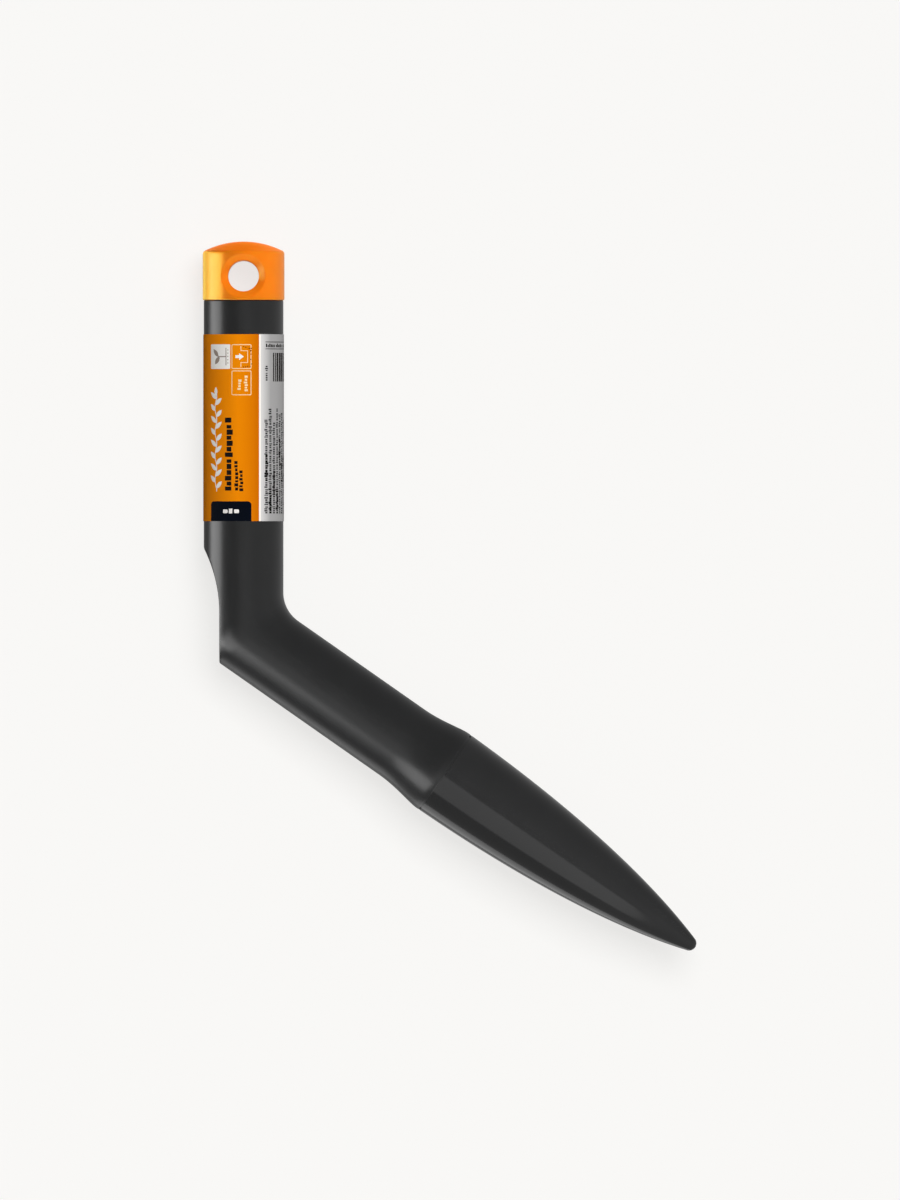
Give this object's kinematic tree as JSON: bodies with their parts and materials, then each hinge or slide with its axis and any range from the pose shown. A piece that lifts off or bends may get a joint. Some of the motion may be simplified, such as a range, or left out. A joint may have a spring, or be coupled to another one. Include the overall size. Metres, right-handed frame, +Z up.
{
  "type": "garden dibber",
  "caption": "Cranked hand dibber for planting bulbs and seedlings: round black grip with a scooped thumb rest, domed cap with a hang hole, and a flared shaft ending in a tapered point.",
  "frame": {"origin": "under the middle of the tool's bounding box, on the surface that it lies on", "axes": "+Z up, square to the level plane of the bend; +Y along the grip, from the bend to the hang hole; the lower shaft and point lead off towards +X and -Y"},
  "size_m": [0.1862, 0.2672, 0.0344],
  "materials": {
    "handle_plastic": "satin moulded black plastic with a fine grain",
    "tip_plastic": "smooth semi-gloss moulded black plastic",
    "cap_plastic": "smooth satin-gloss orange moulded plastic",
    "label_film": "matte printed film, orange and silver grey with plain bars"
  },
  "bodies": {
    "root": {"handle": "handle_plastic", "dibber_tip": "tip_plastic", "end_cap": "cap_plastic", "wrap_label": "label_film"}
  },
  "joints": []
}
